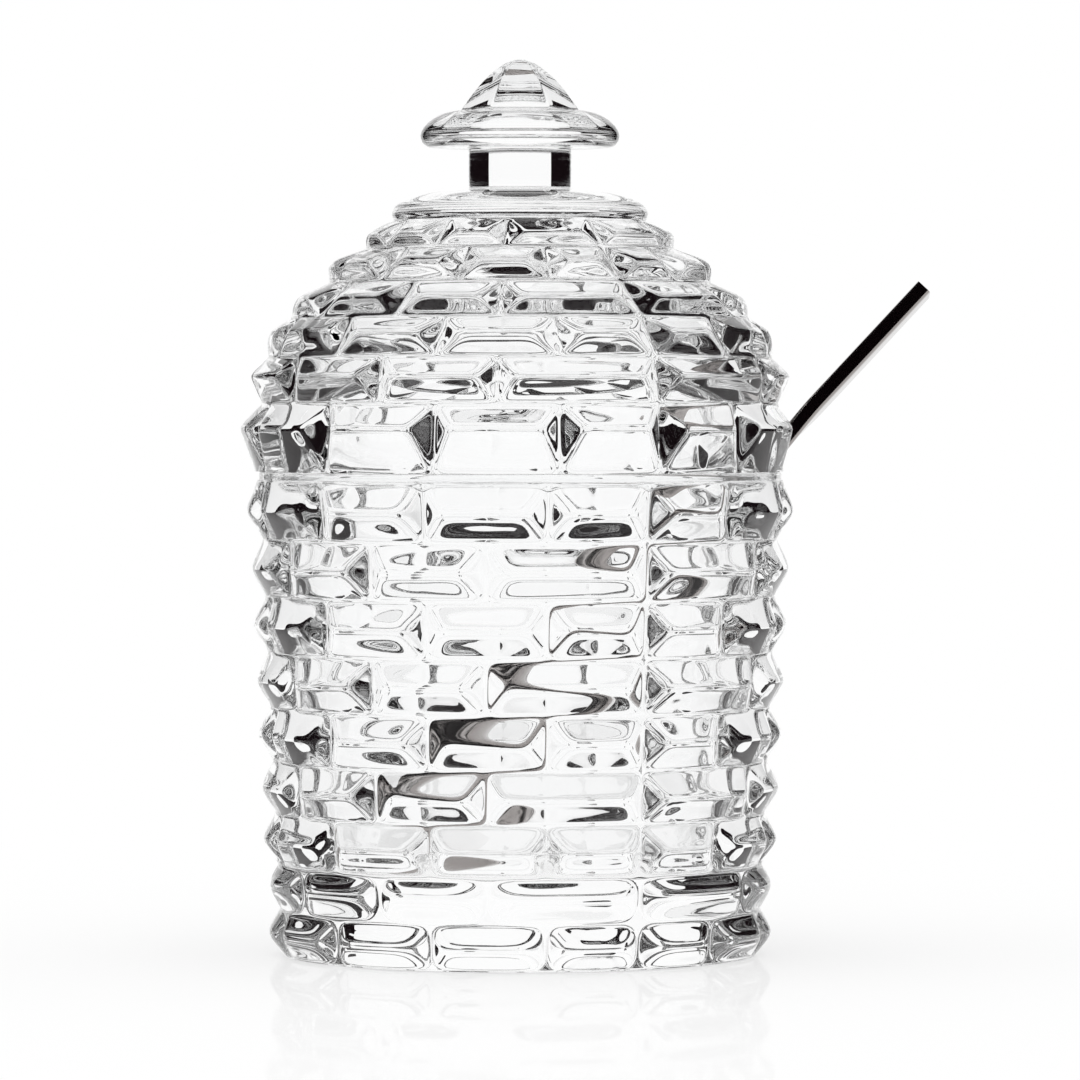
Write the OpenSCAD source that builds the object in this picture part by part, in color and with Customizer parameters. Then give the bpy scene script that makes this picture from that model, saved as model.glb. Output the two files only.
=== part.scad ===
// Honey pot in clear pressed glass: a beehive jar, a lift-off domed lid and a steel spoon.
// The walls are rows of hipped bricks. Their joints stagger from row to row, and both follow
// a two-part mould: at each seam the joints of all the rows line up.
// Angles run from the front (-Y) towards the right (+X), and the origin is the centre of the base.

/* [Brick pattern] */
// Full bricks on each mould half in a row that starts with a narrow brick
full_bricks = 5; // [4:1:7]
// Angle from a joint to the end of a brick's ridge
hip_angle = 5.5; // [4:0.1:6.5]
// Turn of the jar's mould seam from the front
jar_turn = 28.5; // [0:0.5:60]
// Turn of the lid's mould seam from the front
lid_turn = 31; // [20:0.5:45]
// Height of a wall brick's ridge above the grooves
wall_rise = 2.3; // [1:0.1:3]
// Height of the ridges in the lid's bottom row
lid_rise = 3.2; // [2:0.1:4]
// Height of the ridges in the lid's shoulder row
shoulder_rise = 2.6; // [1.5:0.1:3.5]
// Height of the ridges in the rows of the dome
dome_rise = 2; // [1:0.1:2.6]

/* [Jar] */
// Radius of the shoulder that carries the lip
shoulder_r = 44.2; // [42:0.1:47]
// How far the shoulder stands out from the groove under the top row
shoulder_flare = 1; // [0.4:0.1:2]
// How much narrower the wall is under its lowest row than under its top row
wall_taper = 2.5; // [0:0.1:4]
// How much narrower the groove between the foot rows is than the wall
foot_groove_taper = 0.3; // [0:0.1:2]
// How much narrower the flat ground base is than that groove
base_taper = 0.6; // [0:0.1:3]
// Height of each of the two foot rows
foot_row_h = 7.6; // [6:0.1:9]
// Wall rows above the foot rows
wall_rows = 7; // [5:1:9]
// Height of the lowest wall row
low_row_h = 8.6; // [7:0.1:10]
// Height of the top wall row
top_row_h = 9.8; // [8:0.1:12]
// Height of the smooth lip
lip_h = 1.5; // [1:0.1:2.5]
// Thickness of the rim at the mouth
rim_t = 2.3; // [2.1:0.1:3.2]
// Rounding of the rim's inner edge
rim_round = 0.9; // [0.4:0.1:1]
// Height of the floor inside
floor_z = 14.5; // [10:0.1:20]
// Thickness of the wall at the floor, from its grooves
floor_wall_t = 4.7; // [3:0.1:7]
// Fillet between the floor and the wall
floor_fillet = 5; // [3:0.5:12]

/* [Lid] */
// Overhang of the lid past the jar's lip
lid_overhang = 0.6; // [0.3:0.1:1.2]
// Height of the bottom row, which holds the notch
lid_row_h = 11.4; // [10.5:0.1:14]
// How much narrower the bottom row is at its top than at its bottom
lid_row_taper = 1.1; // [0.4:0.1:2.5]
// Height of the shoulder row
shoulder_row_h = 7.7; // [6:0.1:10]
// How much narrower the shoulder row is at its top than at its bottom
shoulder_row_taper = 1.1; // [0.4:0.1:3]
// Height of the dome's four rows
dome_h = 22.9; // [18:0.1:28]
// Radius at the top of the dome's rows
dome_top_r = 21.7; // [19:0.1:25]
// Glass left over the hollow of the lid
dome_crown_t = 4.4; // [3:0.1:7]
// Depth of the locating ring inside the mouth
ring_depth = 3; // [2:0.1:5]
// Thickness of the locating ring
ring_t = 2.6; // [2:0.1:4]
// Clearance between the locating ring and the mouth
ring_clearance = 0.8; // [0.5:0.1:1.5]
// Width of the spoon notch
notch_w = 19.4; // [16:0.1:19.8]
// Glass left between the notch and the shoulder row
notch_bridge = 0.8; // [0.5:0.1:2]
// Corner rounding of the notch
notch_round = 3; // [1:0.5:5]

/* [Knob] */
// Height of the smooth disc under the neck
disc_h = 5.1; // [3:0.1:8]
// Radius of the neck
neck_r = 8.6; // [6:0.1:12]
// Height of the neck
neck_h = 7.2; // [4:0.1:12]
// Radius of the flange
flange_r = 16.7; // [14:0.1:20]
// Height of the flange up to the crown
flange_h = 6.2; // [4:0.1:9]
// Corner radius of the six-sided crown
crown_r = 10.1; // [7:0.1:13]
// Height of the crown
crown_h = 8.6; // [6:0.1:12]

/* [Spoon] */
// Length of the spoon
spoon_l = 132; // [125:0.5:140]
// Length of the bowl
bowl_l = 42; // [34:0.5:44]
// Width of the bowl
bowl_w = 25; // [18:0.5:28]
// Depth of the bowl
bowl_depth = 5; // [3:0.1:6]
// Thickness of the bowl's sheet
bowl_t = 1.4; // [1:0.1:2]
// Width of the neck above the bowl
stem_w = 6; // [5:0.1:8]
// Width of the handle's end
handle_w = 11; // [8:0.1:13]
// Thickness of the handle
handle_t = 2.8; // [2:0.1:3.5]
// Distance of the spoon's tip from the jar's axis
tip_reach = 22; // [18:0.5:23]
// Clearance between the spoon and the glass it rests on
seat_gap = 0.3; // [0.2:0.05:0.5]

/* [Hidden] */
$fn = 96;
bite = 1;
arc_steps = 10;

// Pattern: a column is one step of the wall around the axis. A brick takes six columns,
// a narrow brick five and a wide one eight, and two mould halves close the ring.
brick_cols = 6;
narrow_cols = 5;
wide_cols = narrow_cols + brick_cols / 2;
half_cols = 2 * narrow_cols + full_bricks * brick_cols;
cols = 2 * half_cols;
col_angle = 360 / cols;
foot_rows = 2;

// Heights
wall_z = foot_rows * foot_row_h;
shoulder_z = wall_z + wall_rows * (low_row_h + top_row_h) / 2;
rim_z = shoulder_z + lip_h;
lid_waist_z = rim_z + lid_row_h;
dome_z = lid_waist_z + shoulder_row_h;
disc_z = dome_z + dome_h;
neck_z = disc_z + disc_h;
flange_z = neck_z + neck_h;
crown_z = flange_z + flange_h;

// Radii that follow from the shoulder, down the wall and up the lid
lip_ledge = 0.3;
lip_r = shoulder_r - lip_ledge;
mouth_r = lip_r - rim_t;
wall_top_r = shoulder_r - shoulder_flare;
wall_bottom_r = wall_top_r - wall_taper;
foot_groove_r = wall_bottom_r - foot_groove_taper;
base_r = foot_groove_r - base_taper;
floor_r = wall_bottom_r - floor_wall_t;
lid_base_r = lip_r + lid_overhang;
lid_waist_r = lid_base_r - lid_row_taper;
dome_r = lid_waist_r - shoulder_row_taper;
ring_r = mouth_r - ring_clearance;
hollow_r = ring_r - ring_t;
disc_r = dome_top_r - lip_ledge;

// The notch takes the place of one brick of the lid's bottom row, the third from the seam
notch_cols = [narrow_cols + brick_cols, narrow_cols + 2 * brick_cols];
notch_angle = lid_turn + (notch_cols[0] + notch_cols[1]) / 2 * col_angle;
notch_h = lid_row_h - notch_bridge;

// A row is [bottom radius, bottom height, top radius, top height, ridge place, ridge rise],
// with the ridge's place as a share of the row's slope from its bottom
function row_height(i) = low_row_h + (top_row_h - low_row_h) * i / (wall_rows - 1);
function row_z(i) = wall_z + (i == 0 ? 0 : sum([for (k = [0:i - 1]) row_height(k)]));
function row_r(i) = i == wall_rows ? shoulder_r
    : wall_bottom_r + (wall_top_r - wall_bottom_r) * i / (wall_rows - 1);
function sum(list) = list * [for (x = list) 1];
middle = 0.5;
jar_rows = concat(
    [[base_r, 0, foot_groove_r, foot_row_h, middle, wall_rise]],
    [[foot_groove_r, foot_row_h, wall_bottom_r, wall_z, middle, wall_rise]],
    [for (i = [0:wall_rows - 1])
        [row_r(i), row_z(i), row_r(i + 1), row_z(i + 1), middle, wall_rise]]
);

// The dome's outline at its row boundaries, as shares of its height and of its drop in radius,
// and for each of its rows the ridge's place and its share of the dome's rise
dome_outline = [[0, 0], [0.29, 0.19], [0.55, 0.5], [0.8, 0.8], [1, 1]];
dome_ridges = [[0.5, 0.95], [0.36, 0.95], [0.34, 1.1], [0.34, 0.75]];
lid_ridge_place = 0.62;
shoulder_ridge_place = 0.55;
function dome_point(i) = [
    dome_r - (dome_r - dome_top_r) * dome_outline[i][1],
    dome_z + dome_h * dome_outline[i][0]
];
lid_rows = concat(
    [[lid_base_r, rim_z, lid_waist_r, lid_waist_z, lid_ridge_place, lid_rise]],
    [[lid_waist_r, lid_waist_z, dome_r, dome_z, shoulder_ridge_place, shoulder_rise]],
    [for (i = [0:len(dome_ridges) - 1])
        concat(dome_point(i), dome_point(i + 1), [dome_ridges[i][0], dome_ridges[i][1] * dome_rise])]
);

// Spoon's outline, as shares of its length or its bowl and as powers that shape its curves
bowl_skew = 0.8;
bowl_fullness = 0.62;
sag_skew = 0.85;
sag_fullness = 1.1;
neck_share = 0.78;
thick_share = 0.3;
handle_share = 0.75;
section_power = 0.45;
tip_start = 0.001;
station_power = 1.35;
spoon_stations = 30;
spoon_ring = 20;

// The spoon's underside rests on the rounded rim and its tip on the floor, so its lean follows
// from the tangent to a circle round the centre of the rim's rounding. A flat handle meets the
// round mouth at its two sides, where the flat of its underside ends.
tip_drop = 0.3;
flat_share = 0.55;
rest_half_w = handle_w / 2 * flat_share;
rest_s = sqrt(pow(mouth_r + rim_round, 2) - pow(rest_half_w, 2));
tip_z = floor_z + seat_gap + tip_drop * bowl_t;
rest_offset = rim_round + seat_gap + handle_t / 2;
rest_dist = norm([rest_s + tip_reach, rim_z - rim_round - tip_z]);
spoon_lean = atan2(rim_z - rim_round - tip_z, rest_s + tip_reach) + asin(rest_offset / rest_dist);

// Brick wall

// Joints of a row, by column; rows with a narrow brick at the seam alternate with wide ones
function first_joint(narrow) = narrow ? narrow_cols : wide_cols;
function is_joint(col, narrow) =
    let (c = col % cols, m = min(c, cols - c), first = first_joint(narrow))
    m == 0 || m == half_cols
        || (m >= first && m <= half_cols - first && (m - first) % brick_cols == 0);
function is_plain(col, plain) = col > plain[0] && col < plain[1];

// Angle of a ridge point, drawn to the hip's end where the next column is a joint
function ridge_angle(col, narrow) =
    is_joint(col + cols - 1, narrow) ? (col - 1) * col_angle + hip_angle
    : is_joint(col + 1, narrow) ? (col + 1) * col_angle - hip_angle
    : col * col_angle;

function around(angle, r, z) = [r * sin(angle), -r * cos(angle), z];
function slope_point(row, share) = [
    row[0] + (row[2] - row[0]) * share,
    row[1] + (row[3] - row[1]) * share
];
function slope_normal(row) =
    let (d = [row[2] - row[0], row[3] - row[1]]) [d[1], -d[0]] / norm(d);

function groove_ring(r, z, turn) =
    [for (c = [0:cols - 1]) around(turn + c * col_angle, r, z)];
function ridge_ring(row, narrow, turn, plain) =
    [for (c = [0:cols - 1])
        let (
            flat = is_joint(c, narrow) || is_plain(c, plain),
            p = slope_point(row, row[4]) + (flat ? 0 : row[5]) * slope_normal(row),
            a = flat ? c * col_angle : ridge_angle(c, narrow)
        )
        around(turn + a, p[0], p[1])];

// Two triangles for each column of a strip, split along the hip line where a joint is next to it.
// The hip runs from the joint's corner, which is on the lower ring under a ridge and on the
// upper ring over it.
function strip_faces(low, narrow, under) =
    [for (c = [0:cols - 1])
        let (
            n = (c + 1) % cols,
            a = low * cols + c,
            b = low * cols + n,
            d = (low + 1) * cols + c,
            e = (low + 1) * cols + n,
            rising = is_joint(c + 1, narrow) ? !under : under
        )
        each rising ? [[a, d, e], [a, e, b]] : [[a, d, b], [b, d, e]]];

// First row of the stack is narrow, and the rows alternate from it
module brick_stack(rows, turn, first_narrow = true, plain = [0, 0]) {
    n = len(rows);
    narrow = [for (i = [0:n - 1]) (i % 2 == 0) == first_narrow];
    points = concat(
        [for (i = [0:n - 1]) each concat(
            groove_ring(rows[i][0], rows[i][1], turn),
            ridge_ring(rows[i], narrow[i], turn, i == 0 ? plain : [0, 0])
        )],
        groove_ring(rows[n - 1][2], rows[n - 1][3], turn)
    );
    faces = concat(
        [[for (c = [0:cols - 1]) c]],
        [for (i = [0:n - 1]) each concat(
            strip_faces(2 * i, narrow[i], true),
            strip_faces(2 * i + 1, narrow[i], false)
        )],
        [[for (c = [cols - 1:-1:0]) 2 * n * cols + c]]
    );
    polyhedron(points, faces);
}

// Points of an arc about a centre, in a profile of radius and height
function arc(centre, r, from, to) =
    [for (i = [0:arc_steps])
        let (a = from + (to - from) * i / arc_steps)
        centre + r * [cos(a), sin(a)]];

// Quarter of an oval, from its widest point up to its top, in a profile of radius and height. A
// power of 2 makes it an ellipse, a higher one makes it squarer and a lower one flatter.
function quarter_oval(foot, size, power = 2) =
    [for (i = [0:arc_steps])
        let (a = 90 * i / arc_steps)
        [foot[0] + size[0] * pow(cos(a), 2 / power), foot[1] + size[1] * pow(sin(a), 2 / power)]];

// Jar

module lip() {
    edge = rim_t / 4;
    rotate_extrude()
        polygon(concat(
            [[0, shoulder_z - bite], [lip_r, shoulder_z - bite]],
            arc([lip_r - edge, rim_z - edge], edge, 0, 90),
            [[0, rim_z]]
        ));
}

module jar_hollow() {
    wall_foot_z = floor_z + floor_fillet;
    rotate_extrude()
        polygon(concat(
            [[0, floor_z]],
            arc([floor_r - floor_fillet, wall_foot_z], floor_fillet, -90, 0),
            arc([mouth_r + rim_round, rim_z - rim_round], rim_round, 180, 90),
            [[mouth_r + rim_round, rim_z + bite], [0, rim_z + bite]]
        ));
}

module jar() {
    color([0.84, 0.9, 0.93])
        difference() {
            union() {
                brick_stack(jar_rows, jar_turn);
                lip();
            }
            jar_hollow();
        }
}

// Lid

module locating_ring() {
    chamfer = ring_t / 4;
    rotate_extrude()
        polygon([
            [0, rim_z - ring_depth],
            [ring_r - chamfer, rim_z - ring_depth],
            [ring_r, rim_z - ring_depth + chamfer],
            [ring_r, rim_z + bite],
            [0, rim_z + bite]
        ]);
}

module lid_hollow() {
    top_z = disc_z - dome_crown_t;
    rotate_extrude()
        polygon(concat(
            [[0, rim_z - ring_depth - bite], [hollow_r, rim_z - ring_depth - bite]],
            quarter_oval([0, lid_waist_z], [hollow_r, top_z - lid_waist_z])
        ));
}

module notch() {
    half = notch_w / 2;
    low = rim_z - ring_depth - bite;
    high = rim_z + notch_h;
    rotate([90, 0, notch_angle])
        linear_extrude(lid_base_r + lid_rise + bite)
            polygon(concat(
                [[-half, low], [half, low]],
                arc([half - notch_round, high - notch_round], notch_round, 0, 90),
                arc([notch_round - half, high - notch_round], notch_round, 90, 180)
            ));
}

// Disc, neck and flange, one turned profile
module knob_stem() {
    disc_belly = disc_h / 5;
    flange_belly = 0.3 * flange_h;
    disc_power = 2.2;
    flange_power = 1.5;
    rotate_extrude()
        polygon(concat(
            [
                [0, disc_z - bite],
                [disc_r - lip_ledge, disc_z - bite],
                [disc_r - lip_ledge, disc_z]
            ],
            quarter_oval(
                [neck_r, disc_z + disc_belly],
                [disc_r - neck_r, disc_h - disc_belly],
                disc_power
            ),
            [[neck_r, flange_z]],
            arc([flange_r - flange_belly, flange_z + flange_belly], flange_belly, -90, 0),
            quarter_oval(
                [crown_r, flange_z + flange_belly],
                [flange_r - crown_r, flange_h - flange_belly],
                flange_power
            ),
            [[0, crown_z]]
        ));
}

// Six-sided crown with convex faces, a corner on each side of the view
module knob_crown() {
    foot_r = crown_r - lip_ledge;
    roundness = 1.5;
    rotate_extrude($fn = 6)
        polygon(concat(
            [[0, crown_z - bite], [foot_r, crown_z - bite]],
            [for (i = [0:arc_steps])
                let (share = 1 - i / arc_steps)
                [foot_r * share, crown_z + crown_h * (1 - pow(share, roundness))]]
        ));
}

module lid() {
    color([0.88, 0.93, 0.95])
        difference() {
            union() {
                brick_stack(lid_rows, lid_turn, plain = notch_cols);
                locating_ring();
                knob_stem();
                knob_crown();
            }
            lid_hollow();
            notch();
        }
}

// Spoon

// Outline of the spoon at a distance along it: half width, sag of the bowl and thickness
function eased(x) = let (t = min(max(x, 0), 1)) t * t * (3 - 2 * t);
function bowl_share(u) = min(u / bowl_l, 1);
function bowl_half_w(u) =
    bowl_w / 2 * pow(sin(180 * pow(bowl_share(u), bowl_skew)), bowl_fullness);
function stem_half_w(u) =
    let (widening = eased((u - bowl_l) / (handle_share * spoon_l - bowl_l)))
    stem_w / 2 + (handle_w - stem_w) / 2 * widening;
function half_w(u) =
    let (blend = eased((u / bowl_l - neck_share) / (1 - neck_share)))
    max(bowl_half_w(u) * (1 - blend), 0) + stem_half_w(u) * blend;
function sag(u) = bowl_depth * pow(sin(180 * pow(bowl_share(u), sag_skew)), sag_fullness);
function thickness(u) = bowl_t + (handle_t - bowl_t) * eased(u / bowl_l - thick_share);

// Signed power, which squares a ring off towards a rectangle with round edges
function spow(x, p) = sign(x) * pow(abs(x), p);
function station(i) =
    spoon_l * (tip_start + (1 - tip_start) * pow(i / spoon_stations, station_power));
function spoon_section(u, w) =
    [for (k = [0:spoon_ring - 1])
        let (
            a = 360 * (k + 0.5) / spoon_ring,
            x = spow(cos(a), section_power)
        )
        [u, w * x, thickness(u) / 2 * spow(sin(a), section_power) - sag(u) * (1 - x * x)]];

module spoon_solid() {
    n = spoon_ring;
    last = spoon_stations;
    points = [for (i = [0:last]) each spoon_section(station(i), half_w(station(i)))];
    polyhedron(points, concat(
        [[for (k = [0:n - 1]) k]],
        [for (i = [0:last - 1], k = [0:n - 1])
            let (a = i * n + k, b = i * n + (k + 1) % n)
            each [[a, a + n, b + n], [a, b + n, b]]],
        [[for (k = [n - 1:-1:0]) last * n + k]]
    ));
}

module spoon() {
    color([0.42, 0.42, 0.44])
        rotate([0, 0, notch_angle - 90])
            translate([-tip_reach, 0, tip_z])
                rotate([0, -spoon_lean, 0])
                    spoon_solid();
}

jar();
lid();
spoon();
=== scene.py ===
# %% [markdown]
# A honey pot in clear pressed glass. The jar looks like a wall of small hipped bricks, the lid is a
# dome of the same bricks under a turned knob, and a steel spoon leans out through a notch in the
# lid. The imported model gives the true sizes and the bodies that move. Here each glass piece is
# made again with soft, fire-polished edges, because crystal is judged by how its edges bend light.

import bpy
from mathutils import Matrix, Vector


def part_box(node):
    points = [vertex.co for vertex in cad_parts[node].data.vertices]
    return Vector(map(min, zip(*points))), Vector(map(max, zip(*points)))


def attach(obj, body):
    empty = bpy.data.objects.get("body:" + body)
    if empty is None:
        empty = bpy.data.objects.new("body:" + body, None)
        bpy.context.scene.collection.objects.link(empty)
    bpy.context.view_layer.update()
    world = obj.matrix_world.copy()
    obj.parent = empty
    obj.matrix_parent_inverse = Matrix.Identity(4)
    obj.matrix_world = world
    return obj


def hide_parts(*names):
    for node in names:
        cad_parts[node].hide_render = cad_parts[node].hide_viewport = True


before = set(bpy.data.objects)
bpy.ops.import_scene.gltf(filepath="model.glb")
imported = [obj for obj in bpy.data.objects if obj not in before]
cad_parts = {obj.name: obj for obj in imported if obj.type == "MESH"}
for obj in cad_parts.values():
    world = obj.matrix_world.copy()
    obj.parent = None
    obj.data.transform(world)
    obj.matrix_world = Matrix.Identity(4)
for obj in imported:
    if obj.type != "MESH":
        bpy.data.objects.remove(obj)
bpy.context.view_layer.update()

# %% Helpers from Python and Blender
import math

import bpy
import numpy as np
from mathutils import Vector

MM = 0.001


def add_piece(name, points, faces):
    """An object from points in metres and faces, put into the scene."""
    mesh = bpy.data.meshes.new(name)
    mesh.from_pydata(points, [], faces)
    mesh.update()
    piece = bpy.data.objects.new(name, mesh)
    bpy.context.scene.collection.objects.link(piece)
    print(name, "has", len(mesh.vertices), "points and", len(mesh.polygons), "faces")
    return piece


# %% [markdown]
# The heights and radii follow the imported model. Its boxes give the rim and the top, and the rest
# are the pot's own sizes in millimetres. A row of bricks is one band of the wall: it starts and
# ends in a groove, and its ridge stands proud in between.

# %% Sizes that the frame gives
rim_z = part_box("jar")[1].z / MM
top_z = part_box("lid")[1].z / MM
print("rim at", round(rim_z, 2), "mm, top at", round(top_z, 2), "mm")

# %% Rows of bricks on the jar
FOOT_ROW = 7.6
LOW_ROW, TOP_ROW, WALL_ROWS = 8.6, 9.8, 7
BASE_R, FOOT_R, WALL_LOW_R, WALL_TOP_R, SHOULDER_R = 39.8, 40.4, 40.7, 43.2, 44.2
FOOT_SOFT, WALL_SOFT = (0.9, 1.1), 0.5
FOOT_KNEES = [(0.5, 2.2)], [(0.6, 1.9)]
WALL_HIP = 4.8


def row(low, high, knees, soft=WALL_SOFT, hip=WALL_HIP):
    """A band of bricks between two grooves, each a (radius, height) pair. Knees are the points of
    its profile in between, as (share of the way up, height over the line between the grooves).
    Soft is how round its ridges are in mm, and hip how many degrees its short slopes take."""
    return {"low": np.array(low), "high": np.array(high), "knees": knees, "soft": soft, "hip": hip}


def jar_rows():
    radii = [BASE_R, FOOT_R, *np.linspace(WALL_LOW_R, WALL_TOP_R, WALL_ROWS), SHOULDER_R]
    heights = [FOOT_ROW, FOOT_ROW, *np.linspace(LOW_ROW, TOP_ROW, WALL_ROWS)]
    edges = list(zip(radii, np.concatenate([[0], np.cumsum(heights)])))
    knees = [*FOOT_KNEES] + [[(0.5, 2.3)]] * WALL_ROWS
    softness = [*FOOT_SOFT] + [WALL_SOFT] * WALL_ROWS
    return [row(*four) for four in zip(edges, edges[1:], knees, softness)]


print(len(jar_rows()), "rows on the jar")

# %% [markdown]
# On the dome the rows are stairs: a steep front face, a rounded nose, and a long slope back to the
# next row. Two knees draw that profile, where one is enough for the ridges of the wall. The short
# slopes keep their width in millimetres, so they take more degrees where the dome gets narrow.

# %% Rows of bricks on the lid
LID_EDGES = [
    (44.5, 0), (43.4, 11.4), (42.3, 19.1), (38.35, 25.74), (32.0, 31.7), (25.8, 37.4), (21.7, 42.0),
]
LID_KNEES = [
    [(0.62, 3.2)], [(0.55, 2.6)],
    [(0.2, 1.15), (0.52, 1.85)], [(0.17, 1.35), (0.36, 1.9)],
    [(0.16, 1.8), (0.37, 2.15)], [(0.2, 1.35), (0.55, 1.2)],
]
LID_SOFT = [0.35, 0.35, 0.3, 0.28, 0.25, 0.22]
LID_HIPS = [4.6, 4.8, 5.4, 6.0, 6.6, 7.3]


def lid_rows():
    edges = [(r, rim_z + z) for r, z in LID_EDGES]
    return [row(*five) for five in zip(edges, edges[1:], LID_KNEES, LID_SOFT, LID_HIPS)]


print(len(lid_rows()), "rows on the lid")

# %% [markdown]
# The glass was pressed in a mould of two halves, and the joints follow it. A brick is 27 degrees
# wide, and each half starts and ends with a narrower or a wider one, so the joints of one row fall
# in the middle of the bricks above and below. At the two seams all the joints line up.

# %% Joints of a row
COLUMN = 4.5
NARROW, BRICK, HALF = 5, 6, 40
WIDE = NARROW + BRICK // 2
JAR_TURN, LID_TURN = 28.5, 31.0


def joint_angles(narrow):
    first = NARROW if narrow else WIDE
    inner = np.arange(first, HALF - first + 1, BRICK)
    half = np.concatenate([[0], inner]) * COLUMN
    return np.concatenate([half, half + 180])


def to_joint(angles, narrow):
    """Degrees from each angle to the nearest joint of the row."""
    gap = (angles[:, None] - joint_angles(narrow)[None, :] + 180) % 360 - 180
    return np.abs(gap).min(axis=1)


print("joints of a narrow row:", joint_angles(True))

# %% [markdown]
# Each brick is a hipped roof: two long slopes and two short ones. Taking the lowest of the four
# planes gives the roof, and taking it softly rounds the ridges as fire-polishing does. A stair on
# the dome has a third plane between its front and its top, and those two melt into one round face.

# %% Height of a brick over the wall
GROOVE_SOFT = 0.12
FACE_SOFT = 0.6
SOFT_LIFT = 0.7
COLUMNS = 640
RINGS_PER_ROW = 22


def soft_least(heights, soft):
    return -soft * np.log(sum(np.exp(-h / soft) for h in heights))


def profile_planes(shares, knees):
    """The lines between the knees of a row, each drawn on over the whole row."""
    points = [(0, 0), *knees, (1, 0)]
    return [
        h0 + (h1 - h0) * (shares - s0) / (s1 - s0)
        for (s0, h0), (s1, h1) in zip(points, points[1:])
    ]


def brick_height(angles, shares, r, narrow, plain=()):
    softs = [FACE_SOFT] * (len(r["knees"]) - 1) + [r["soft"]]
    knees = [(s, h + SOFT_LIFT * soft) for (s, h), soft in zip(r["knees"], softs)]
    rise = max(h for _, h in knees)
    front, *others = profile_planes(shares, knees)
    for middle in others[:-1]:
        front = soft_least([front, middle], FACE_SOFT)
    planes = [p[:, None] + 0 * angles[None, :] for p in (front, others[-1])]
    planes.append(rise * to_joint(angles, narrow)[None, :] / r["hip"] + 0 * shares[:, None])
    height = np.maximum(soft_least(planes, r["soft"]), 0)
    height = np.sqrt(height**2 + GROOVE_SOFT**2) - GROOVE_SOFT
    if len(plain):
        inside = (angles > plain[0]) & (angles < plain[1])
        height[:, inside] = 0
    return height


# %% [markdown]
# The heights over the wall become rings of points around the axis, one above the other. A modifier
# could stack single bricks instead, but rings keep the skin closed and give every brick its place.

# %% Rings of points around the axis
seam_angles = np.arange(COLUMNS) * 360 / COLUMNS


def ring_points(radius, height, turn):
    """Radius and height for each column, as points. Angles run from the front to the right."""
    a = np.radians(seam_angles + turn)
    radius = np.broadcast_to(radius, a.shape)
    height = np.broadcast_to(height, a.shape)
    return np.stack([radius * np.sin(a), -radius * np.cos(a), height], axis=1)


def row_rings(r, narrow, turn, plain=()):
    shares = np.linspace(0, 1, RINGS_PER_ROW, endpoint=False)
    along = r["high"] - r["low"]
    out = np.array([along[1], -along[0]]) / np.linalg.norm(along)
    height = brick_height(seam_angles, shares, r, narrow, plain)
    rings = []
    for share, h in zip(shares, height):
        base = r["low"] + along * share
        rings.append(ring_points(base[0] + out[0] * h, base[1] + out[1] * h, turn))
    return rings


def stack_rings(rows, turn, plain=()):
    rings = []
    for i, r in enumerate(rows):
        rings += row_rings(r, i % 2 == 0, turn, plain if i == 0 else ())
    return rings


print("a jar wall of", COLUMNS, "by", RINGS_PER_ROW * len(jar_rows()), "points")

# %% [markdown]
# Turned parts of the glass, such as the rim, the inside and the knob, are profiles of radius and
# height. Pressed glass has no sharp corner, so a helper rounds each corner of a profile with an
# arc of its own radius before it is turned.

# %% Rounded profiles


def softened(points, steps=5):
    """Points are (radius, height, rounding). Corners with a rounding become arcs."""
    out = []
    for i, (x, z, size) in enumerate(points):
        here = np.array([x, z], float)
        if size == 0 or i in (0, len(points) - 1):
            out.append(here)
            continue
        before = np.array(points[i - 1][:2], float) - here
        after = np.array(points[i + 1][:2], float) - here
        start = here + before / np.linalg.norm(before) * size
        end = here + after / np.linalg.norm(after) * size
        for t in np.linspace(0, 1, steps + 1):
            out.append((1 - t) ** 2 * start + 2 * t * (1 - t) * here + t**2 * end)
    return out


def arc_profile(centre, size, start, end, steps=12):
    angles = np.radians(np.linspace(start, end, steps + 1))
    return [np.array([centre[0] + size * math.cos(a), centre[1] + size * math.sin(a)]) for a in angles]


def turned(profile, turn):
    return [ring_points(p[0], p[1], turn) for p in profile]


# %% A closed mesh from rings
def mesh_from_rings(name, rings, start_z, end_z):
    """Joins the rings in order and closes both ends at a point on the axis."""
    rings = np.array(rings)
    n, m = rings.shape[:2]
    points = np.vstack([rings.reshape(-1, 3), [[0, 0, start_z], [0, 0, end_z]]]) * MM
    c = np.arange(m)
    d = (c + 1) % m
    quads = [np.stack([i * m + c, i * m + d, (i + 1) * m + d, (i + 1) * m + c], 1) for i in range(n - 1)]
    first = np.stack([np.full(m, n * m), d, c], 1)
    last = np.stack([np.full(m, n * m + 1), (n - 1) * m + c, (n - 1) * m + d], 1)
    faces = np.vstack(quads).tolist() + first.tolist() + last.tolist()
    piece = add_piece(name, points.tolist(), faces)
    piece.data.shade_smooth()
    return piece


# %% [markdown]
# The jar is one closed skin: the flat base, nine rows of bricks, the smooth lip and rim, then the
# tapering inside down to its rounded floor. The thick foot under the floor is solid glass.

# %% The jar
LIP, LIP_LEDGE = 1.5, 0.3
RIM_T, RIM_ROUND = 2.3, 0.9
LIP_R = SHOULDER_R - LIP_LEDGE
MOUTH_R = LIP_R - RIM_T
FLOOR_Z, FLOOR_R, FLOOR_FILLET = 14.5, 36.0, 5.0


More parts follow.
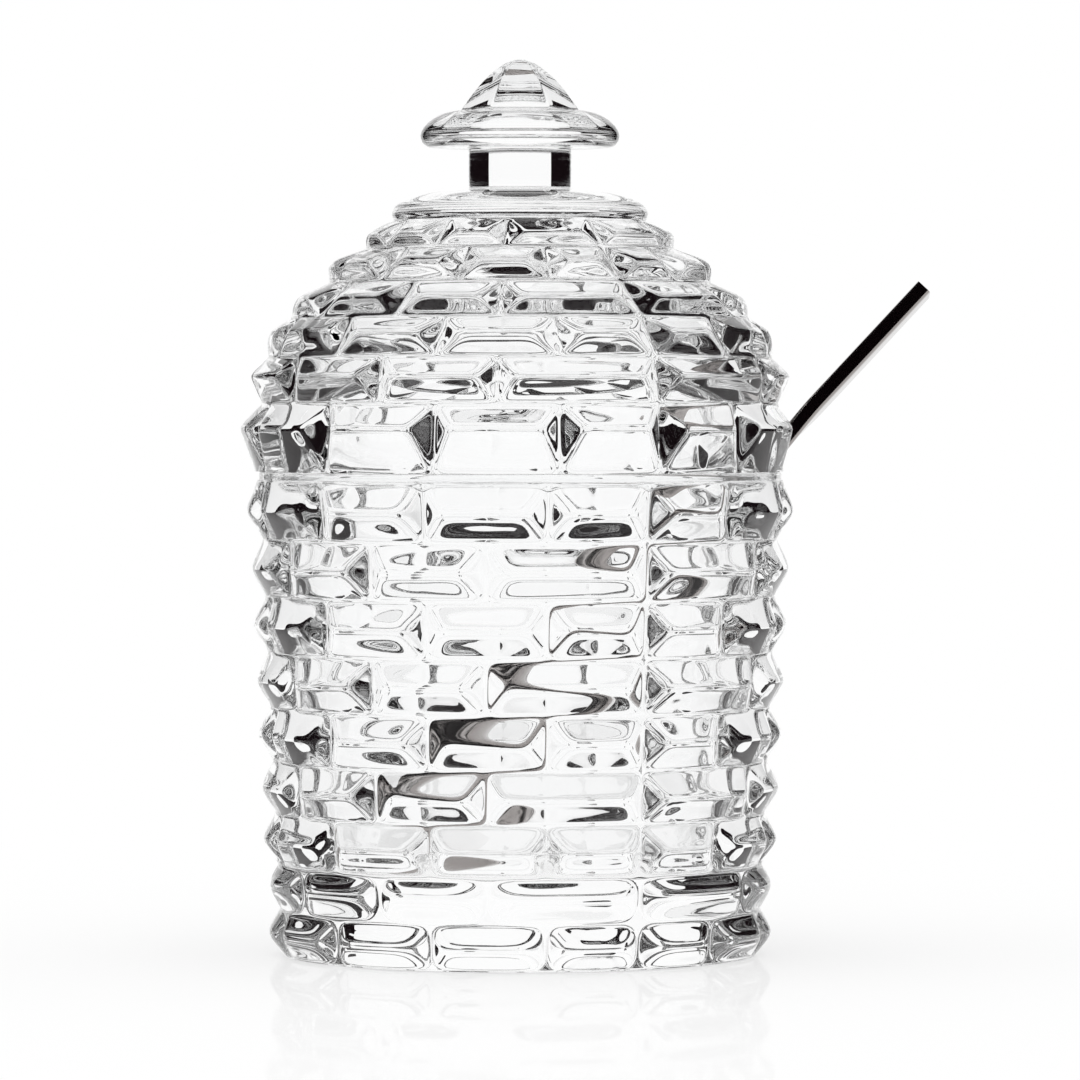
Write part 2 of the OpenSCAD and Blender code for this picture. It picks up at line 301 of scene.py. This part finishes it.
def jar_piece():
    shoulder_z = rim_z - LIP
    base = softened([(12, 0, 0), (30, 0, 0), (BASE_R - 0.6, 0, 0), (BASE_R - 0.15, 0.04, 0)])
    rim = softened([
        (SHOULDER_R - 0.02, shoulder_z, 0),
        (LIP_R, shoulder_z + 0.12, 0.1),
        (LIP_R, rim_z, 0.6),
        (MOUTH_R, rim_z, RIM_ROUND),
        (MOUTH_R - 0.1, rim_z - 2, 0),
    ], 8)
    wall_foot = FLOOR_Z + FLOOR_FILLET
    heights = np.linspace(rim_z - 5, wall_foot + 1, 14)
    share = (heights - wall_foot) / (rim_z - wall_foot)
    wall = list(zip(FLOOR_R + (MOUTH_R - FLOOR_R) * share, heights))
    floor = arc_profile((FLOOR_R - FLOOR_FILLET, wall_foot), FLOOR_FILLET, 0, -90, 24)
    floor += [(r, FLOOR_Z) for r in (20, 14, 8, 3)]
    rings = turned(base, JAR_TURN) + stack_rings(jar_rows(), JAR_TURN)
    rings += turned(rim + wall + floor, JAR_TURN)
    return mesh_from_rings("jar_glass", rings, 0, FLOOR_Z)


jar = jar_piece()

# %% [markdown]
# The lid goes the same way: rows of bricks up the dome, then the turned disc, neck and flange,
# and the six-sided crown. The inside is a smooth hollow, and a ring under it keeps the lid in the
# jar's mouth.

# %% Six-sided outline
def hexagon(angles, sharp=90):
    """Radius of a six-sided outline with soft corners, with a flat side to the front."""
    near = [np.maximum(np.cos(np.radians(angles - 60 * k)), 0) ** sharp for k in range(6)]
    return math.cos(math.radians(30)) / sum(near) ** (1 / sharp)


# %% Knob
CROWN_R, CROWN_POWER, CROWN_CAP, CROWN_ROUND = 10.0, 1.75, 0.1, 0.35
DISC_R, DISC_H, DISC_BELLY = 21.5, 5.1, 1.0
NECK_R, NECK_H = 8.6, 7.2
FLANGE_R, FLANGE_H, FLANGE_BELLY, FLANGE_POWER = 16.7, 6.2, 1.9, 1.8


def quarter_oval(foot, size, power, steps=16):
    """From an oval's widest point up to its top; a power of 2 makes it an ellipse."""
    angles = np.radians(np.linspace(0, 90, steps + 1))
    cos, sin = np.clip(np.cos(angles), 0, 1) ** (2 / power), np.sin(angles) ** (2 / power)
    return [np.array([foot[0] + size[0] * c, foot[1] + size[1] * s]) for c, s in zip(cos, sin)]


def knob_profile(z0):
    """Disc, neck and flange over the top of the dome's bricks."""
    neck_z = z0 + DISC_H
    flange_z = neck_z + NECK_H
    crown_z = flange_z + FLANGE_H
    disc = [np.array([DISC_R - 0.3, z0 + 0.05])]
    disc += quarter_oval((NECK_R, z0 + DISC_BELLY), (DISC_R - NECK_R, DISC_H - DISC_BELLY), 2.2)[:-1]
    neck = softened([(NECK_R + 1.5, neck_z - 0.02, 0), (NECK_R, neck_z, 0.5), (NECK_R, flange_z, 0.4),
                     (NECK_R + 1, flange_z, 0)])
    brim = arc_profile((FLANGE_R - FLANGE_BELLY, flange_z + FLANGE_BELLY), FLANGE_BELLY, -90, 0)
    size = (FLANGE_R - CROWN_R, FLANGE_H - FLANGE_BELLY)
    top = quarter_oval((CROWN_R, flange_z + FLANGE_BELLY), size, FLANGE_POWER)
    return disc + neck + brim + top[1:-1], crown_z


def crown_rings(z0, turn):
    """The crown swells out of the flange and closes over the top with six convex faces."""
    outline = hexagon(seam_angles + turn)
    foot, cap = (1 + CROWN_CAP**2) ** (CROWN_POWER / 2), CROWN_CAP**CROWN_POWER
    rings = []
    for share in np.linspace(1, 0.03, 36):
        rise = (foot - (share**2 + CROWN_CAP**2) ** (CROWN_POWER / 2)) / (foot - cap)
        six = min(1, share / CROWN_ROUND)
        radius = CROWN_R * share * (1 + (outline - 1) * six)
        rings.append(ring_points(radius, z0 + (top_z - z0) * rise, turn))
    return rings


# %% Inside of the lid
RING_DEPTH, RING_T, RING_CLEARANCE = 3.0, 2.6, 0.8
RING_R = MOUTH_R - RING_CLEARANCE
HOLLOW_R = RING_R - RING_T
HOLLOW_TOP = 37.6
NOTCH = (11 * COLUMN, 17 * COLUMN)


def lid_inside():
    """From the crown of the hollow down to the locating ring and out to the lid's lower edge."""
    waist = LID_EDGES[1][1]
    angles = np.radians(np.linspace(84, 0, 26))
    rise = HOLLOW_TOP - waist
    dome = [(HOLLOW_R * math.cos(a), rim_z + waist + rise * math.sin(a)) for a in angles]
    ring = softened([
        (HOLLOW_R, rim_z + 9, 0),
        (HOLLOW_R, rim_z - RING_DEPTH, 0.7),
        (RING_R, rim_z - RING_DEPTH, 0.8),
        (RING_R, rim_z, 0.4),
        (LID_EDGES[0][0] - 0.5, rim_z, 0),
    ])
    return dome + ring


def lid_piece():
    outside = stack_rings(lid_rows(), LID_TURN, NOTCH)
    knob, crown_z = knob_profile(rim_z + LID_EDGES[-1][1])
    rings = turned(lid_inside(), LID_TURN) + outside
    rings += turned(knob, LID_TURN) + crown_rings(crown_z, LID_TURN)
    return mesh_from_rings("lid_glass", rings, rim_z + HOLLOW_TOP, top_z)


lid = lid_piece()

# %% [markdown]
# The notch takes the place of one brick in the lid's lowest row. It is cut with a block that has
# two rounded corners, which leaves the same clean opening as the mould's core.

# %% Cut the notch
NOTCH_W, NOTCH_H, NOTCH_ROUND = 19.4, 10.6, 3.0
CUT_FROM, CUT_TO = 15, 60
LID_SHARP = 62
notch_angle = LID_TURN + sum(NOTCH) / 2


def notch_directions():
    """Out through the middle of the notch, and across it."""
    turn = math.radians(notch_angle)
    out = Vector((math.sin(turn), -math.cos(turn), 0))
    side = Vector((math.cos(turn), math.sin(turn), 0))
    return out, side


def notch_outline(steps=8):
    half, low, high = NOTCH_W / 2, rim_z - RING_DEPTH - 1, rim_z + NOTCH_H
    right = arc_profile((half - NOTCH_ROUND, high - NOTCH_ROUND), NOTCH_ROUND, 0, 90, steps)
    left = arc_profile((NOTCH_ROUND - half, high - NOTCH_ROUND), NOTCH_ROUND, 90, 180, steps)
    return [(-half, low), (half, low)] + [tuple(p) for p in right + left]


def notch_cutter():
    outline = notch_outline()
    n = len(outline)
    out, side = notch_directions()
    points = [
        (side * x + out * d + Vector((0, 0, z))) * MM
        for d in (CUT_FROM, CUT_TO) for x, z in outline
    ]
    faces = [(i, (i + 1) % n, n + (i + 1) % n, n + i) for i in range(n)]
    faces += [tuple(range(n))[::-1], tuple(range(n, 2 * n))]
    return add_piece("notch_cutter", points, faces)


def cut(piece, cutter):
    modifier = piece.modifiers.new("cut", "BOOLEAN")
    modifier.operation, modifier.solver, modifier.object = "DIFFERENCE", "EXACT", cutter
    evaluated = piece.evaluated_get(bpy.context.evaluated_depsgraph_get())
    made = bpy.data.meshes.new_from_object(evaluated)
    piece.modifiers.clear()
    piece.data = made
    bpy.data.objects.remove(cutter)
    print(piece.name, "after the cut has", len(made.vertices), "points")


cut(lid, notch_cutter())
lid.data.set_sharp_from_angle(angle=math.radians(LID_SHARP))

# %% [markdown]
# The spoon is swept along its own axis. One closed ring of points changes its half width, its
# thickness and how far it sags into a bowl, from the tip to the square end of the handle. Outside
# the notch the handle is rolled a little about its own length. In the photograph a thin light line
# runs along its lower edge, and the roll turns the underside to the camera to give that line.

# %% Outline of the spoon
SPOON_L, BOWL_L, BOWL_W, BOWL_DEPTH, BOWL_T = 132.0, 42.0, 25.0, 5.0, 1.4
STEM_W, HANDLE_W, HANDLE_T = 6.0, 11.0, 2.8
TIP_REACH, TIP_DROP, SEAT_GAP = 22.0, 0.3, 0.3
REST_SHARE = 0.55


def eased(x):
    t = min(max(x, 0), 1)
    return t * t * (3 - 2 * t)


def half_width(u):
    share = min(u / BOWL_L, 1)
    bowl = BOWL_W / 2 * max(math.sin(math.pi * share**0.8), 0) ** 0.62
    stem = STEM_W / 2 + (HANDLE_W - STEM_W) / 2 * eased((u - BOWL_L) / (0.75 * SPOON_L - BOWL_L))
    blend = eased((u / BOWL_L - 0.78) / 0.22)
    return bowl * (1 - blend) + stem * blend


def sag(u):
    return BOWL_DEPTH * max(math.sin(math.pi * min(u / BOWL_L, 1) ** 0.85), 0) ** 1.1


def thickness(u):
    return BOWL_T + (HANDLE_T - BOWL_T) * eased(u / BOWL_L - 0.3)


# %% Sweep the spoon
STATIONS, SPOON_RING = 110, 64
BOWL_SQUARE, HANDLE_SQUARE, SQUARE_OVER = 0.45, 0.25, 20
ROLL, ROLL_FROM, ROLL_OVER = math.radians(8.5), 92, 14
SPOON_SHARP = 60


def signed_power(x, p):
    return math.copysign(abs(x) ** p, x)


def spoon_section(u):
    """One ring of points, in mm along the spoon, across it and out of its upper face."""
    points = []
    roll = ROLL * eased((u - ROLL_FROM) / ROLL_OVER)
    cos, sin = math.cos(roll), math.sin(roll)
    square = BOWL_SQUARE + (HANDLE_SQUARE - BOWL_SQUARE) * eased((u - BOWL_L) / SQUARE_OVER)
    for k in range(SPOON_RING):
        a = 2 * math.pi * (k + 0.5) / SPOON_RING
        x = signed_power(math.cos(a), square)
        z = thickness(u) / 2 * signed_power(math.sin(a), square) - sag(u) * (1 - x * x)
        y = half_width(u) * x
        points.append((u, y * cos + z * sin, z * cos - y * sin))
    return points


def spoon_lean():
    """The handle rests on the rounded rim and the tip on the floor, both with the seat gap."""
    rest_half = HANDLE_W / 2 * REST_SHARE
    x = math.sqrt((MOUTH_R + RIM_ROUND) ** 2 - rest_half**2) + TIP_REACH
    tip_z = FLOOR_Z + SEAT_GAP + TIP_DROP * BOWL_T
    z = rim_z - RIM_ROUND - tip_z
    lean = math.atan2(z, x) + math.asin((RIM_ROUND + SEAT_GAP + HANDLE_T / 2) / math.hypot(x, z))
    return lean, tip_z


def spoon_axes():
    """The spoon's own directions: along it, across it, and out of its upper face."""
    lean, tip_z = spoon_lean()
    out, side = notch_directions()
    along = out * math.cos(lean) + Vector((0, 0, math.sin(lean)))
    face = Vector((0, 0, math.cos(lean))) - out * math.sin(lean)
    return along, side, face, out * -TIP_REACH + Vector((0, 0, tip_z))


def spoon_piece():
    along, side, face, tip = spoon_axes()
    places = [SPOON_L * (0.001 + 0.999 * (i / STATIONS) ** 1.2) for i in range(STATIONS + 1)]
    points = [
        (tip + along * u + side * y + face * z) * MM
        for p in places for u, y, z in spoon_section(p)
    ]
    n = SPOON_RING
    faces = [
        (i * n + k, i * n + (k + 1) % n, (i + 1) * n + (k + 1) % n, (i + 1) * n + k)
        for i in range(STATIONS) for k in range(n)
    ]
    faces += [tuple(range(n))[::-1], tuple(range(STATIONS * n, STATIONS * n + n))]
    piece = add_piece("spoon_steel", points, faces)
    piece.data.shade_smooth()
    piece.data.set_sharp_from_angle(angle=math.radians(SPOON_SHARP))
    return piece


spoon = spoon_piece()
print("spoon leans", round(math.degrees(spoon_lean()[0]), 2), "degrees")

# %% [markdown]
# Shader networks are easier to read as sums than as chains of boxes. A small class wraps one
# socket and turns Python's operators into Math nodes. Colours and vectors go through Mix and
# Vector Math instead, because a Math node would turn them grey.

# %% Shader maths as Python


class Signal:
    """One output socket of a node tree."""

    def __init__(self, tree, socket):
        self.tree, self.socket = tree, socket

    def math(self, operation, *others):
        return node(self.tree, "ShaderNodeMath", {"operation": operation}, {
            i: v for i, v in enumerate((self, *others))
        })[0]

    def __add__(self, other):
        return self.math("ADD", other)

    def __mul__(self, other):
        return self.math("MULTIPLY", other)

    def __sub__(self, other):
        return self.math("SUBTRACT", other)

    def __rsub__(self, other):
        return node(self.tree, "ShaderNodeMath", {"operation": "SUBTRACT"}, {0: other, 1: self})[0]

    __radd__, __rmul__ = __add__, __mul__


class Outputs:
    """Outputs of a node, by number or by name."""

    def __init__(self, tree, made):
        self.tree, self.made = tree, made

    def __getitem__(self, key):
        return Signal(self.tree, self.made.outputs[key])


def node(tree, kind, settings=None, inputs=None):
    """Makes a node, sets its settings first and then its sockets, as values or as links."""
    made = tree.nodes.new(kind)
    for name, value in (settings or {}).items():
        setattr(made, name, value)
    for name, value in (inputs or {}).items():
        socket = made.inputs[name]
        if isinstance(value, Signal):
            tree.links.new(value.socket, socket)
        else:
            socket.default_value = value
    return Outputs(tree, made)


def new_material(name):
    material = bpy.data.materials.new(name)
    material.use_nodes = True
    material.node_tree.nodes.clear()
    return material, material.node_tree


def finish_material(tree, shader):
    node(tree, "ShaderNodeOutputMaterial", inputs={"Surface": shader})


# %% [markdown]
# Lead crystal is clear, bends light strongly and has almost no colour of its own. Pressed glass
# is not quite flat, so a faint wave in its surface makes the lines seen through it swim.

# %% Crystal
CRYSTAL = (0.997, 0.999, 1.0, 1)
CRYSTAL_IOR = 1.545
EDGE_SHINE = (0.35, 0.35, 0.35, 1)
WAVES_PER_M, WAVE_STRENGTH, WAVE_HEIGHT = 140.0, 0.06, 0.0006


def crystal(name):
    material, tree = new_material(name)
    place = node(tree, "ShaderNodeTexCoord")["Object"]
    wave = node(tree, "ShaderNodeTexNoise", inputs={
        "Vector": place, "Scale": WAVES_PER_M, "Detail": 1.0, "Roughness": 0.4,
    })["Fac"]
    bump = node(tree, "ShaderNodeBump", inputs={
        "Height": wave, "Strength": WAVE_STRENGTH, "Distance": WAVE_HEIGHT,
    })
    shader = node(tree, "ShaderNodeBsdfPrincipled", inputs={
        "Base Color": CRYSTAL, "Roughness": 0.0, "IOR": CRYSTAL_IOR,
        "Transmission Weight": 1.0, "Specular Tint": EDGE_SHINE, "Normal": bump["Normal"],
    })["BSDF"]
    finish_material(tree, shader)
    return material


jar.data.materials.clear()
lid.data.materials.clear()
jar.data.materials.append(crystal("jar_crystal"))
lid.data.materials.append(crystal("lid_crystal"))

# %% [markdown]
# The spoon is polished steel. Polishing leaves hair-thin marks along its length, so the noise that
# drives its roughness is read in the spoon's own directions and stretched along it.

# %% Polished steel
STEEL = (0.36, 0.335, 0.325, 1)
MARKS_PER_M = (20.0, 1500.0, 1500.0)
SMOOTHEST, MARK_DEPTH = 0.09, 0.05


def steel():
    material, tree = new_material("spoon_steel")
    place = node(tree, "ShaderNodeTexCoord")["Object"]
    stretched = []
    for axis, count in zip(spoon_axes()[:3], MARKS_PER_M):
        way = {0: place, 1: tuple(axis)}
        reach = node(tree, "ShaderNodeVectorMath", {"operation": "DOT_PRODUCT"}, way)["Value"]
        stretched.append(reach * count)
    grain = node(tree, "ShaderNodeCombineXYZ", inputs=dict(zip("XYZ", stretched)))["Vector"]
    marks = node(tree, "ShaderNodeTexNoise", inputs={
        "Vector": grain, "Scale": 1.0, "Detail": 2.0,
    })["Fac"]
    shader = node(tree, "ShaderNodeBsdfPrincipled", inputs={
        "Base Color": STEEL, "Metallic": 1.0, "Roughness": marks * MARK_DEPTH + SMOOTHEST,
    })["BSDF"]
    finish_material(tree, shader)
    return material


spoon.data.materials.append(steel())

# %% [markdown]
# Each piece made here takes the place of the plain solid of the same name and moves with that
# solid's body. So the lid lifts and the spoon slides at every pose.

# %% Each new piece rides on its body
for piece, node_name, slot_name in (
    (jar, "jar", "jar_glass"), (lid, "lid", "lid_glass"), (spoon, "spoon", "spoon_steel")
):
    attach(piece, node_name)
    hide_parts(node_name)
    print(piece.name, "stands for", node_name)

# %% [markdown]
# Clear glass shows only what is around it, and on a plain white ground it would vanish. A glass
# photographer keeps the ground white and stands black cards all round the pot, except behind it,
# with a black canopy above. Every edge that bends light far enough then turns dark. The cards here
# are hidden from the camera, and only light that goes through glass or is mirrored meets them.

# %% White surroundings
DAYLIGHT = 0.85


def white_world():
    """White for whatever is seen directly, mirrored or through glass, and a plain light otherwise."""
    world = bpy.data.worlds.new("studio")
    world.use_nodes = True
    tree = world.node_tree
    tree.nodes.clear()
    path = node(tree, "ShaderNodeLightPath")
    seen = path["Is Camera Ray"] + path["Is Glossy Ray"] + path["Is Transmission Ray"]
    level = seen.math("MINIMUM", 1.0) * (1 - DAYLIGHT) + DAYLIGHT
    shader = node(tree, "ShaderNodeBackground", inputs={"Color": (1, 1, 1, 1), "Strength": level})
    node(tree, "ShaderNodeOutputWorld", inputs={"Surface": shader["Background"]})
    bpy.context.scene.world = world


white_world()

# %% Black cards
CARD_R = 0.8
CARD_BLACK = (0.008, 0.0048, 0.006, 1)
CARD_LOW, CARD_HIGH = -6, 37
BACKDROP = 28
SIDE_CARDS = 6
POT_MIDDLE = 0.08


def card(name, start, end, low, high, steps=12):
    """A curved card round the pot, between two angles from the front and two heights in degrees."""
    across = [math.radians(start + (end - start) * i / steps) for i in range(steps + 1)]
    up = [math.radians(low + (high - low) * i / steps) for i in range(steps + 1)]
    points = [
        (
            CARD_R * math.cos(e) * math.sin(a),
            -CARD_R * math.cos(e) * math.cos(a),
            POT_MIDDLE + CARD_R * math.sin(e),
        )
        for e in up for a in across
    ]
    n = steps + 1
    corners = [j * n + i for j in range(steps) for i in range(steps)]
    faces = [(c, c + 1, c + n + 1, c + n) for c in corners]
    piece = add_piece(name, points, faces)
    piece.visible_camera = piece.visible_diffuse = piece.visible_shadow = False
    piece.data.materials.append(black_paper)
    return piece


def paper():
    material, tree = new_material("black_paper")
    grain = node(tree, "ShaderNodeTexNoise", inputs={"Scale": 400.0})["Fac"]
    shader = node(tree, "ShaderNodeBsdfPrincipled", inputs={
        "Base Color": CARD_BLACK, "Roughness": grain * 0.1 + 0.85, "Specular IOR Level": 0.0,
    })["BSDF"]
    finish_material(tree, shader)
    return material


black_paper = paper()
edges = np.linspace(BACKDROP - 180, 180 - BACKDROP, SIDE_CARDS + 1)
for number, (start, end) in enumerate(zip(edges, edges[1:])):
    card(f"card_{number}", start, end, CARD_LOW, CARD_HIGH)

# %% [markdown]
# The canopy is one more card that closes the studio above the others, all the way round. It leaves
# only a small hole at the very top, and it darkens the faces of the dome that look up.

# %% Canopy
CANOPY_OPEN, CANOPY_STEPS = 89, 36
card("canopy", 0, 360, CARD_HIGH, CANOPY_OPEN, CANOPY_STEPS)

# %% [markdown]
# One broad soft lamp from above gives the pot its pale shadow on the table. The cards let it pass.

# %% Soft overhead light
SUN_STRENGTH = 0.5
SUN_WIDTH = 70
SUN_TILT = 14, -12, 0


def soft_sun():
    data = bpy.data.lights.new("soft_top", "SUN")
    data.energy, data.angle = SUN_STRENGTH, math.radians(SUN_WIDTH)
    lamp = bpy.data.objects.new("soft_top", data)
    lamp.rotation_euler = [math.radians(a) for a in SUN_TILT]
    bpy.context.scene.collection.objects.link(lamp)


soft_sun()

# %% [markdown]
# The table is white and a little glossy. A small constant share of mirror over a matt white shows
# the pot's foot faintly upside down, and the matt part keeps the pot's light shadow. Both fade out
# away from the pot into plain white. What is seen through the pot or mirrored in it is white too.

# %% White table
TABLE_HALF = 40.0
TABLE_Z = -0.0002
TABLE_GLOSS, TABLE_POLISH = 0.3, 0.03
WHITE = (1.0, 1.0, 1.0, 1)
LIT_SEEN, LIT_THROUGH = 0.6, 0.9
FADE_FROM, FADE_TO = 0.06, 0.3


def white_table():
    material, tree = new_material("white_table")
    matt = node(tree, "ShaderNodeBsdfDiffuse", inputs={"Color": WHITE})["BSDF"]
    mirror = node(tree, "ShaderNodeBsdfGlossy", inputs={
        "Color": WHITE, "Roughness": TABLE_POLISH,
    })["BSDF"]
    top = node(tree, "ShaderNodeMixShader", inputs={0: TABLE_GLOSS, 1: matt, 2: mirror})["Shader"]
    glow = node(tree, "ShaderNodeEmission", inputs={"Color": WHITE, "Strength": 1.0})["Emission"]
    path = node(tree, "ShaderNodeLightPath")
    through = (path["Is Glossy Ray"] + path["Is Transmission Ray"]).math("MINIMUM", 1.0)
    place = node(tree, "ShaderNodeTexCoord")["Object"]
    away = node(tree, "ShaderNodeVectorMath", {"operation": "LENGTH"}, {0: place})["Value"]
    far = node(tree, "ShaderNodeMapRange", {"clamp": True}, {
        "Value": away, "From Min": FADE_FROM, "From Max": FADE_TO,
    })
    seen = far["Result"] * (1 - LIT_SEEN) + LIT_SEEN
    share = through * LIT_THROUGH + path["Is Camera Ray"] * seen
    shader = node(tree, "ShaderNodeMixShader", inputs={0: share, 1: top, 2: glow})["Shader"]
    finish_material(tree, shader)
    return material


def table():
    corners = [(-1, -1), (1, -1), (1, 1), (-1, 1)]
    points = [(x * TABLE_HALF, y * TABLE_HALF, TABLE_Z) for x, y in corners]
    top = add_piece("table", points, [(0, 1, 2, 3)])
    top.data.materials.append(white_table())


table()

# %% [markdown]
# The camera stands a little over a metre away, level with the lid's shoulder, as in the
# photograph, and looks slightly down so that the pot fills the frame without any lens shift.

# %% Camera
SENSOR_MM = 36
FRAME_PX = 1080
PX_PER_MM = 5.95
DISTANCE_PX = 7000
AXIS_PX, HORIZON_PX, BASE_PX = 520, 390, 953.5


def photo_camera():
    data = bpy.data.cameras.new("camera")
    camera = bpy.data.objects.new("camera", data)
    bpy.context.scene.collection.objects.link(camera)
    data.sensor_width = SENSOR_MM
    data.lens = SENSOR_MM * DISTANCE_PX / FRAME_PX
    height = (BASE_PX - HORIZON_PX) / PX_PER_MM * MM
    distance = DISTANCE_PX / PX_PER_MM * MM
    camera.location = (0, -distance, height)
    aside = (FRAME_PX / 2 - AXIS_PX) / PX_PER_MM * MM
    down = (FRAME_PX / 2 - HORIZON_PX) / PX_PER_MM * MM
    target = Vector((aside, 0, height - down))
    look = target - camera.location
    camera.rotation_mode = "QUATERNION"
    camera.rotation_quaternion = look.to_track_quat("-Z", "Y")
    data.clip_end = 200
    bpy.context.scene.camera = camera
    print("camera at", [round(v, 3) for v in camera.location])


photo_camera()

# %% [markdown]
# Light crosses many walls of glass on its way through the pot, so it gets enough bounces to come
# out again. Otherwise the thick edges would turn black.

# %% View settings
scene = bpy.context.scene
scene.view_settings.view_transform = "Standard"
scene.cycles.max_bounces = 24
scene.cycles.transmission_bounces = 24
scene.cycles.glossy_bounces = 12
